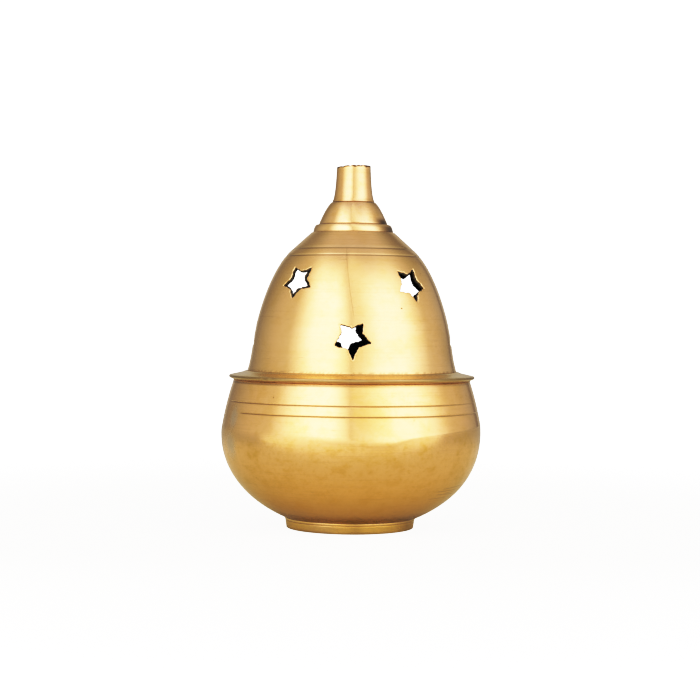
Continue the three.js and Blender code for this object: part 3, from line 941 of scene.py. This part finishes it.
def build_dome():
    plain, outside = dome_outline()
    outer = DomeSurface(plain)
    inner_path = []
    for along in np.linspace(0, outer.length[-1], 84):
        radius, height = outer.at(along)
        out, up = outer.normal(np.clip(along, 0.7, outer.length[-1] - 0.7))
        inner_path.append((radius - WALL * out, height - WALL * up))
    inner = DomeSurface(inner_path)

    # the rows in order: up the outside, over the crown, down the inside and round the foot
    crown = rounded([
        (*SHOULDER, 0.4), (CROWN_RADIUS + 0.15, CROWN_HEIGHT, 0.08), (STEM_HOLE_RADIUS, CROWN_HEIGHT, 0.1),
        (STEM_HOLE_RADIUS, CROWN_HEIGHT - 2, 0.1), (11.0, CROWN_HEIGHT - 2, 0.5),
    ], False)
    seat = BRIM_TOP + TOUCH
    spigot = rounded([
        (inner_path[0][0], SPIGOT_BOTTOM + 1.4), (30.8, SPIGOT_BOTTOM, 0.15), (31.9, SPIGOT_BOTTOM, 0.15),
        (31.9, seat, 0.05), (DOME_FOOT_RADIUS + 0.02, seat, 0.03), (DOME_FOOT_RADIUS, DOME_FOOT, 0.1),
    ], False)
    over = evenly(crown, 1.0)[1:]
    rows = np.array([*outside, *over, *inner_path[::-1], *evenly(spigot, 0.8)[1:]])
    on_outside, on_crown = slice(0, len(outside)), slice(len(outside), len(outside) + len(over))
    from_inner = slice(on_crown.stop, None)
    radius, height = grid_of(rows, LARGE_SIDES)

    masks = blank_finish(radius)
    # painted highlight just above each turned line and painted shade just below it
    for groove in DOME_GROOVE_HEIGHTS:
        raise_finish(masks, on_outside, WEAR_AND_HIGHLIGHT, 0.9 * fade(height[on_outside] - groove - 0.12, 0.2))
        raise_finish(masks, on_outside, GRIME_AND_SHADE, 0.6 * fade(height[on_outside] - groove + 0.2, 0.14))
    foot_dirt = smoothstep(DOME_FOOT + 0.3, DOME_FOOT, height[on_outside])
    raise_finish(masks, on_outside, GRIME_AND_SHADE, 0.3 * foot_dirt)
    # the lid's inside is near black: soot, and painted shade seen through the vents
    is_under = (radius[on_crown] < CROWN_RADIUS - 1) & (height[on_crown] < CROWN_HEIGHT - 0.3)
    masks[on_crown, :, SOOT_AND_SHADE] = 0.9 * is_under
    masks[from_inner, :, SOOT_AND_SHADE] = radius[from_inner] < DOME_FOOT_RADIUS - 0.3

    grid = PiercedGrid(turn(radius, height, LARGE_SIDES), masks.reshape(-1, 4), LARGE_SIDES)
    outer_rows = range(len(outside)), outer.along_at(rows[on_outside, 1])
    inner_rows = range(from_inner.start, from_inner.start + len(inner_path)), inner.length[::-1]
    for index in range(len(VENTS)):
        cut_vent(grid, index, outer, inner, outer_rows, inner_rows)
    faces = grid_faces(len(rows), LARGE_SIDES, skip=grid.left_out) + grid.faces
    make_piece(
        "dome", grid.points, faces, grid.finish, DOME_BRASS, "lid", ["lid_dome"], grid.normals
    )


# ---- Finial ----

# (bearing, width, strength) of the dull patch low on each
COLLAR_DULL = ((66, 24, 0.8),)
BELL_DULL = ((62, 20, 0.9),)


def build_collar():
    bottom = CROWN_HEIGHT + TOUCH
    outline = rounded([
        (STEM_HOLE_RADIUS, bottom, 0.1), (COLLAR_RADIUS + 0.05, bottom, 0.15),
        (COLLAR_RADIUS - 0.3, COLLAR_BOTTOM + 1.2, 0.5), (11.7, COLLAR_TOP - 0.1, 0.35),
        (10.9, COLLAR_TOP, 0.2), (STEM_HOLE_RADIUS, COLLAR_TOP, 0.1),
    ])

    def finish(radius, height, bearing):
        side = radius > 11
        low = smoothstep(CROWN_HEIGHT + 0.35, CROWN_HEIGHT, height)
        patch = spots(bearing, COLLAR_DULL) * smoothstep(COLLAR_BOTTOM + 2.2, COLLAR_BOTTOM + 0.9, height)
        top = smoothstep(COLLAR_TOP - 0.25, COLLAR_TOP, height) * (radius < 11.2)
        darkening = np.maximum(0.3 * low, patch) * side
        return {WEAR_AND_HIGHLIGHT: 0.55 * side, GRIME_AND_SHADE: np.maximum(darkening, 0.4 * top)}

    turned_piece("collar", outline, DULL_BRASS, "lid", "finial_brass", ["finial_collar"], finish=finish)


def build_bell():
    outline = [
        (STEM_HOLE_RADIUS, COLLAR_TOP + TOUCH), (BELL_RADIUS, COLLAR_TOP + TOUCH),
        (BELL_RADIUS + 0.04, COLLAR_TOP + 0.12), *trace(BELL, 24)[1:-1],
        (BELL_TOP_RADIUS, BELL_TOP - 0.1), (BELL_TOP_RADIUS - 0.1, BELL_TOP),
        (STEM_HOLE_RADIUS, BELL_TOP),
    ]

    def finish(radius, height, bearing):
        foot = smoothstep(BELL_BOTTOM + 0.15, COLLAR_TOP, height)
        patch = spots(bearing, BELL_DULL) * smoothstep(BELL_BOTTOM + 2.2, BELL_BOTTOM + 0.3, height)
        # the top edge: a dark joint under the chimney, with painted shade added towards the left and right
        # sides
        at_sides = np.abs(sine(bearing))
        top = smoothstep(BELL_TOP - 0.3, BELL_TOP, height) * (0.25 + 0.5 * at_sides)
        return {GRIME_AND_SHADE: np.maximum(np.maximum(0.35 * foot, patch), top)}

    turned_piece("bell", outline, FINIAL_BRASS, "lid", "finial_brass", ["finial_bell"], finish=finish)


RIM_SLANT = 0.5  # how much lower the chimney's rim is on its left
# (bearing, width, depth) of the nicks in the rim
RIM_NICKS = (
    (-40, 6, 0.2), (-12, 4, 0.22), (9, 3.5, 0.2), (25, 4, 0.2),
    (95, 6, 0.2), (140, 5, 0.3), (205, 7, 0.25), (260, 5, 0.2),
)
THREAD_PITCH = 1.0
THREAD_DEPTH = 0.22


def build_tube():
    """The chimney, with its sawn rim uneven, and below it the threaded stem."""
    outline = [
        (CHIMNEY_BORE_RADIUS, STEM_BOTTOM + 0.15), (CHIMNEY_BORE_RADIUS + 0.15, STEM_BOTTOM),
        (STEM_RADIUS - 0.3, STEM_BOTTOM), (STEM_RADIUS, STEM_BOTTOM + 0.3),
        (STEM_RADIUS, BELL_TOP + TOUCH), (TUBE_FOOT_RADIUS + 0.02, BELL_TOP + TOUCH),
        *trace(TUBE, 30)[1:-1], (RIM_RADIUS, TUBE_TOP), (RIM_RADIUS - 0.06, TUBE_TOP + 0.12),
        (CHIMNEY_BORE_RADIUS + 0.25, TUBE_TOP + 0.12), (CHIMNEY_BORE_RADIUS, TUBE_TOP - 0.25),
    ]

    def shape(radius, height, bearing):
        near_rim = smoothstep(TUBE_TOP - 1.6, TUBE_TOP, height)
        slant = RIM_SLANT * (0.5 - 0.5 * sine(bearing)) ** 3
        nicks = spots(bearing, RIM_NICKS) * smoothstep(TUBE_TOP - 0.4, TUBE_TOP, height)
        height = height - near_rim * (slant + nicks)
        on_stem = (radius > STEM_RADIUS - 0.05) & (height < CROWN_HEIGHT - 2) & (height > STEM_BOTTOM + 0.4)
        wave = np.cos(2 * math.pi * (height / THREAD_PITCH - bearing / 360))
        return radius - on_stem * THREAD_DEPTH * (0.5 - 0.5 * wave), height

    def finish(radius, height, bearing):
        burr = 0.34 + 0.14 * sine(bearing * 9) + 0.1 * sine(bearing * 17 + 50)
        on_top = (height > TUBE_TOP - burr) | ((height > TUBE_TOP - 0.3) & (radius < 3.6))
        lip = fade(height - TUBE_TOP + 0.8, 0.2) * (radius > 5)
        foot = smoothstep(TUBE_BOTTOM + 0.1, BELL_TOP, height) * (radius > 5)
        bore = (radius < CHIMNEY_BORE_RADIUS + 0.05) * smoothstep(TUBE_TOP + 1, TUBE_TOP - 4, height)
        return {
            GRIME_AND_SHADE: np.maximum(0.85 * on_top, 0.4 * foot),
            WEAR_AND_HIGHLIGHT: 0.5 * lip,
            SOOT_AND_SHADE: np.maximum(bore, 0.5 * (height < BELL_BOTTOM)),
        }

    rows = evenly(outline, 0.25, closed=True)
    turned_piece("chimney", rows, DULL_BRASS, "lid", "finial_brass", ["chimney_tube"], shape, finish)


# ---- Fastening under the crown ----


def smoked(amount):
    """A finish with the same soot all over."""
    return lambda radius, height, bearing: {SOOT_AND_SHADE: amount}


def build_washer():
    outline = rounded([
        (STEM_HOLE_RADIUS, WASHER_BOTTOM, 0.1), (WASHER_RADIUS, WASHER_BOTTOM, 0.25),
        (WASHER_RADIUS, WASHER_TOP, 0.15), (STEM_HOLE_RADIUS, WASHER_TOP, 0.1),
    ])
    finish = smoked(0.35)
    turned_piece("washer", outline, INNER_BRASS, "lid", "inner_brass", ["crown_washer"], finish=finish)


def build_nut():
    """A hexagon nut, its corners turned off top and bottom."""
    corner = NUT_HALF_FLATS / math.cos(math.pi / 6)
    outline = rounded([
        (STEM_HOLE_RADIUS + 0.4, NUT_BOTTOM, 0.1), (NUT_HALF_FLATS - 0.2, NUT_BOTTOM, 0.1),
        (corner, NUT_BOTTOM + 0.7, 0.05), (corner, NUT_TOP - 0.4, 0.05),
        (NUT_HALF_FLATS, NUT_TOP, 0.1), (STEM_HOLE_RADIUS + 0.2, NUT_TOP, 0.1),
        (STEM_HOLE_RADIUS, NUT_TOP - 0.3), (STEM_HOLE_RADIUS, NUT_BOTTOM + 0.4),
    ])

    def shape(radius, height, bearing):
        off_flat = np.radians((bearing + 30) % 60 - 30)
        return np.minimum(radius, NUT_HALF_FLATS / np.cos(off_flat)), height

    turned_piece("nut", outline, INNER_BRASS, "lid", "inner_brass", ["lock_nut"], shape, smoked(0.3))


# ---- Floor, light and camera ----

BACKDROP_GLOW = 1.9
FLOOR_REACH = 3.0
FLOOR_DROP = 0.0002
# the floor's colour is a painted pool of light: lighter in front of the object, darker to the sides and
# farther off, as the object's reflections show it
FLOOR_NEAR = (0.645, 0.635, 0.48, 1)
FLOOR_FAR = (0.39, 0.39, 0.34, 1)
FLOOR_IN_FRONT = (0.94, 0.93, 0.78, 1)
# distances from the middle, in metres, over which the floor changes as the names say
FLOOR_SPREAD = (0.10, 0.42)
FRONT_EDGE = (0.055, 0.13)
FAR_OFF = (0.15, 0.42)
FLOOR_GLOW = 2.2
SEEN_GLOW = (0.45, 0.5)  # the share of glow that the camera sees: what distance adds, and near by
BOUNCE = 0.04  # share of the floor's glow that also lights the object
FAR_BOUNCE = 0.3  # the same, farther off in front


def build_floor():
    """A pale floor that looks white to the camera but lights the object only a little."""
    mesh = bpy.data.meshes.new("floor")
    corners = [(x * FLOOR_REACH, y * FLOOR_REACH, 0) for x, y in ((-1, -1), (1, -1), (1, 1), (-1, 1))]
    mesh.from_pydata(corners, [], [(0, 1, 2, 3)])
    floor = add_object("floor", mesh)
    floor.location.z = -FLOOR_DROP
    material = bpy.data.materials.new("pale_floor")
    s = Shader(material)
    place = s.node("ShaderNodeNewGeometry").outputs["Position"]
    distance = s.node("ShaderNodeVectorMath", {0: place}, operation="LENGTH").outputs["Value"]
    spread = s.ramp(distance, *FLOOR_SPREAD)
    in_front = s.ramp(s.times(s.split(place)[1], -1.0), *FRONT_EDGE)
    colour = s.mix(in_front, s.mix(spread, FLOOR_NEAR, FLOOR_FAR), FLOOR_IN_FRONT)
    paper = s.node("ShaderNodeBsdfDiffuse", {"Color": colour}).outputs[0]
    glow = s.node("ShaderNodeEmission", {"Strength": FLOOR_GLOW}).outputs[0]
    seen = s.node("ShaderNodeLightPath").outputs["Is Camera Ray"]
    seen_share = s.times(seen, s.math("MULTIPLY_ADD", spread, *SEEN_GLOW))
    far_glow = s.times(in_front, s.ramp(distance, *FAR_OFF))
    unseen_share = s.math("MULTIPLY_ADD", far_glow, FAR_BOUNCE, BOUNCE)
    s.node("ShaderNodeOutputMaterial", {0: s.blend(s.add(seen_share, unseen_share), paper, glow)})
    mesh.materials.append(material)


# strengths of the soft panels, then of what the room adds or takes away
LEFT_BOX, RIGHT_BOX, RIGHT_WALL, OVERHEAD = 1.34, 1.28, 0.11, 0.86
BACK, SIDES, CENTRE, RIGHT_OF_GAP, IN_GAP, FLAG = 0.2, 0.42, 0.32, 0.12, -0.42, -0.12
AMBIENT = 0.28
PANEL_COLOUR = (0.97, 0.945, 1.13)
ROOM_COLOUR = (1.0, 0.965, 0.91)


def build_studio():
    """Soft boxes to the front left and front right, an overhead panel and pale walls.

    Places are azimuths, with 0 in front and 90 towards +X, and elevations, in degrees.
    """
    world = bpy.data.worlds.new("studio")
    bpy.context.scene.world = world
    s = Shader(world)
    x, y, z = s.split(s.node("ShaderNodeTexCoord").outputs["Generated"])
    azimuth = s.bearing(x, y)
    elevation = s.times(s.math("ARCSINE", z), 180 / math.pi)
    # the gap between the boxes leans to the left as it rises
    leaned = s.add(azimuth, s.ramp(elevation, 22.0, 80.0, 0.0, 20.0))
    away = s.math("ABSOLUTE", azimuth)
    forward = s.times(y, -1.0)

    def band(value, low, low_full, high_full, high):
        return s.times(s.ramp(value, low, low_full), s.ramp(value, high, high_full))

    left = s.times(band(leaned, -84.0, -40.0, -24.0, 4.0), band(elevation, -12.0, 10.0, 40.0, 68.0))
    right = s.times(band(leaned, 4.0, 42.0, 58.0, 106.0), band(elevation, -12.0, 10.0, 34.0, 64.0))
    right_wall = s.times(band(azimuth, 76.0, 116.0, 140.0, 164.0), band(elevation, -4.0, 8.0, 18.0, 32.0))
    overhead = s.times(s.ramp(elevation, 40.0, 72.0), s.ramp(forward, -0.45, 0.35, 0.36, 0.46))
    panels = s.total((left, LEFT_BOX), (right, RIGHT_BOX), (right_wall, RIGHT_WALL), (overhead, OVERHEAD))

    back = s.times(s.ramp(away, 154.0, 160.0), s.ramp(elevation, 62.0, 30.0))
    sides = s.times(s.ramp(away, 164.0, 80.0), s.ramp(elevation, 80.0, 44.0))
    centre = s.times(s.ramp(away, 44.0, 0.0), s.ramp(elevation, 84.0, 50.0))
    right_of_gap = band(leaned, 1.0, 2.0, 8.0, 40.0)
    in_gap = band(leaned, -2.4, -0.8, 0.4, 1.6)
    flag = band(azimuth, 146.0, 149.0, 152.0, 155.0)
    room = s.total(
        (back, BACK), (sides, SIDES), (centre, CENTRE), (right_of_gap, RIGHT_OF_GAP), (in_gap, IN_GAP),
        (flag, FLAG), (AMBIENT, 1.0),
    )
    both = {0: s.background(ROOM_COLOUR, room), 1: s.background(PANEL_COLOUR, panels)}
    lit = s.node("ShaderNodeAddShader", both).outputs[0]
    seen = s.node("ShaderNodeLightPath").outputs["Is Camera Ray"]
    backdrop = s.background((1, 1, 1), BACKDROP_GLOW)
    s.node("ShaderNodeOutputWorld", {0: s.blend(seen, lit, backdrop)})


# (scene brightness, picture brightness): dark tones a little deeper, highlights rolled off
TONE = (
    (0.04, 0.024), (0.10, 0.050), (0.18, 0.110), (0.30, 0.25),
    (0.45, 0.44), (0.65, 0.68), (1.0, 0.905), (1.4, 0.975),
)
TONE_WHITE = 2.5


def set_tone():
    view = bpy.context.scene.view_settings
    view.view_transform = "Standard"
    view.use_curve_mapping = True
    mapping = view.curve_mapping
    mapping.white_level = (TONE_WHITE, TONE_WHITE, TONE_WHITE)
    curve = mapping.curves[3]  # the one for all three colours together
    for brightness, shown in TONE:
        curve.points.new(brightness / TONE_WHITE, shown)
    mapping.update()


CAMERA_DISTANCE = 0.5307  # metres
CAMERA_HEIGHT = 0.0662  # metres
CAMERA_LENS = 87.43  # mm
SENSOR_WIDTH = 36  # mm
CAMERA_PITCH = math.radians(-1.18)
CAMERA_YAW = math.radians(0.07)
CAMERA_ROLL = math.radians(0.55)


def build_camera():
    lens = bpy.data.cameras.new("camera")
    lens.lens = CAMERA_LENS
    lens.sensor_width = SENSOR_WIDTH
    lens.clip_start, lens.clip_end = 0.01, 50
    camera = add_object("camera", lens)
    level = Matrix.Rotation(math.pi / 2, 4, "X")
    aim = Matrix.Rotation(CAMERA_YAW, 4, "Z") @ level @ Matrix.Rotation(CAMERA_PITCH, 4, "X")
    place = Matrix.Translation((0, -CAMERA_DISTANCE, CAMERA_HEIGHT))
    camera.matrix_world = place @ aim @ Matrix.Rotation(CAMERA_ROLL, 4, "Z")
    bpy.context.scene.camera = camera


build_camera()
build_floor()
build_studio()
set_tone()
build_foot()
build_bowl()
build_brim()
build_dome()
build_collar()
build_bell()
build_tube()
build_washer()
build_nut()
